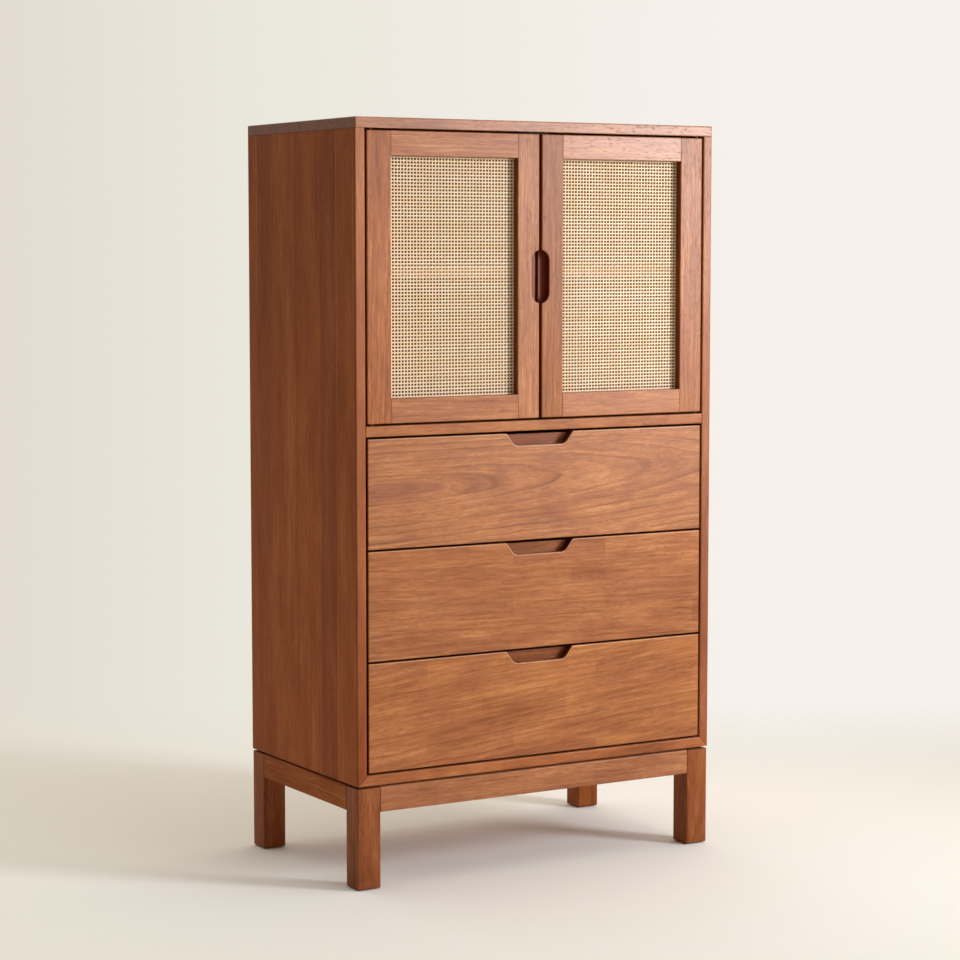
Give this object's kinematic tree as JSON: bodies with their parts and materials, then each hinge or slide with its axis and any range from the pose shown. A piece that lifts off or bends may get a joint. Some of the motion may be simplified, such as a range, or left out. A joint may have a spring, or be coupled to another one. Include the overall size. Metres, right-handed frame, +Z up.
{
  "type": "tallboy",
  "caption": "Tall hardwood cabinet on a legged base, with cane-panelled cupboard doors above stacked drawers that open by finger notches.",
  "frame": {"origin": "on the floor under the middle of the cabinet", "axes": "+Z up, -Y towards the viewer in front of the doors and drawers, +X to that viewer's right"},
  "size_m": [0.8, 0.45, 1.44],
  "materials": {
    "hardwood": "satin oil",
    "box_wood": "sanded and sealed",
    "plywood": "veneered and sealed",
    "cane": "natural woven cane",
    "brass": "turned",
    "glide_plastic": "moulded"
  },
  "bodies": {
    "cabinet": {"side_panel_left": "hardwood", "side_panel_right": "hardwood", "top_panel": "hardwood", "bottom_panel": "hardwood", "fixed_shelf": "hardwood", "cupboard_shelf": "hardwood", "back_panel": "plywood", "leg_front_left": "hardwood", "leg_front_right": "hardwood", "leg_back_left": "hardwood", "leg_back_right": "hardwood", "glide_front_left": "glide_plastic", "glide_front_right": "glide_plastic", "glide_back_left": "glide_plastic", "glide_back_right": "glide_plastic", "apron_front": "hardwood", "apron_back": "hardwood", "apron_left": "hardwood", "apron_right": "hardwood", "base_spacer": "box_wood", "hinge_pin_left_top": "brass", "hinge_pin_left_bottom": "brass", "hinge_pin_right_top": "brass", "hinge_pin_right_bottom": "brass", "drawer_lower_runner_left": "box_wood", "drawer_lower_runner_right": "box_wood", "drawer_middle_runner_left": "box_wood", "drawer_middle_runner_right": "box_wood", "drawer_upper_runner_left": "box_wood", "drawer_upper_runner_right": "box_wood"},
    "door_left": {"door_left_hinge_stile": "hardwood", "door_left_meeting_stile": "hardwood", "door_left_top_rail": "hardwood", "door_left_bottom_rail": "hardwood", "door_left_cane": "cane", "door_left_cane_bead": "hardwood"},
    "door_right": {"door_right_hinge_stile": "hardwood", "door_right_meeting_stile": "hardwood", "door_right_top_rail": "hardwood", "door_right_bottom_rail": "hardwood", "door_right_cane": "cane", "door_right_cane_bead": "hardwood"},
    "drawer_lower": {"drawer_lower_front": "hardwood", "drawer_lower_box_front": "box_wood", "drawer_lower_side_left": "box_wood", "drawer_lower_side_right": "box_wood", "drawer_lower_back": "box_wood", "drawer_lower_bottom": "plywood"},
    "drawer_middle": {"drawer_middle_front": "hardwood", "drawer_middle_box_front": "box_wood", "drawer_middle_side_left": "box_wood", "drawer_middle_side_right": "box_wood", "drawer_middle_back": "box_wood", "drawer_middle_bottom": "plywood"},
    "drawer_upper": {"drawer_upper_front": "hardwood", "drawer_upper_box_front": "box_wood", "drawer_upper_side_left": "box_wood", "drawer_upper_side_right": "box_wood", "drawer_upper_back": "box_wood", "drawer_upper_bottom": "plywood"}
  },
  "joints": [
    {"name": "door_left_hinge", "type": "hinge", "parent": "cabinet", "child": "door_left", "pos_m": [-0.366, -0.217, 0.876], "axis": [0, 0, -1], "range_deg": [0, 105]},
    {"name": "door_right_hinge", "type": "hinge", "parent": "cabinet", "child": "door_right", "pos_m": [0.366, -0.217, 0.876], "axis": [0, 0, 1], "range_deg": [0, 105]},
    {"name": "drawer_lower_slide", "type": "slide", "parent": "cabinet", "child": "drawer_lower", "axis": [0, -1, 0], "range_m": [0, 0.3]},
    {"name": "drawer_middle_slide", "type": "slide", "parent": "cabinet", "child": "drawer_middle", "axis": [0, -1, 0], "range_m": [0, 0.3]},
    {"name": "drawer_upper_slide", "type": "slide", "parent": "cabinet", "child": "drawer_upper", "axis": [0, -1, 0], "range_m": [0, 0.3]}
  ]
}
